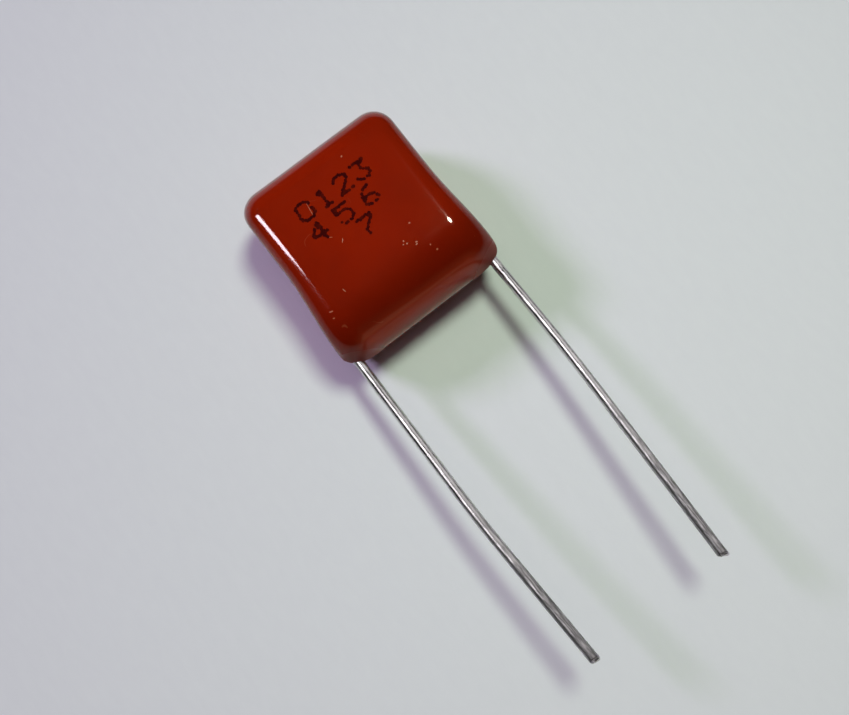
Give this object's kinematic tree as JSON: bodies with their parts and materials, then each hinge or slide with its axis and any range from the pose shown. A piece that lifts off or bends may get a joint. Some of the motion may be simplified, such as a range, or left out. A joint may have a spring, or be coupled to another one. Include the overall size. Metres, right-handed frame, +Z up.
{
  "type": "film capacitor",
  "caption": "Radial dipped film capacitor: a soft-edged red-brown epoxy block lying flat, with long tinned wire leads leaving one end.",
  "frame": {"origin": "centre of the flat underside that the capacitor lies on", "axes": "+X across the leads, the leads leave towards -Y and rise a little, +Z up through the coat's thickness"},
  "size_m": [0.0113, 0.0324, 0.0064],
  "materials": {
    "epoxy": "glossy dipped epoxy, slightly wavy",
    "metallised_film": "edge-wound metallised film",
    "sprayed_zinc": "matt sprayed metal, grainy",
    "tinned_wire": "bright tin, duller towards the tips"
  },
  "bodies": {
    "root": {"epoxy_coating": "epoxy", "film_winding": "metallised_film", "left_end_spray": "sprayed_zinc", "right_end_spray": "sprayed_zinc", "left_lead": "tinned_wire", "right_lead": "tinned_wire"}
  },
  "joints": []
}
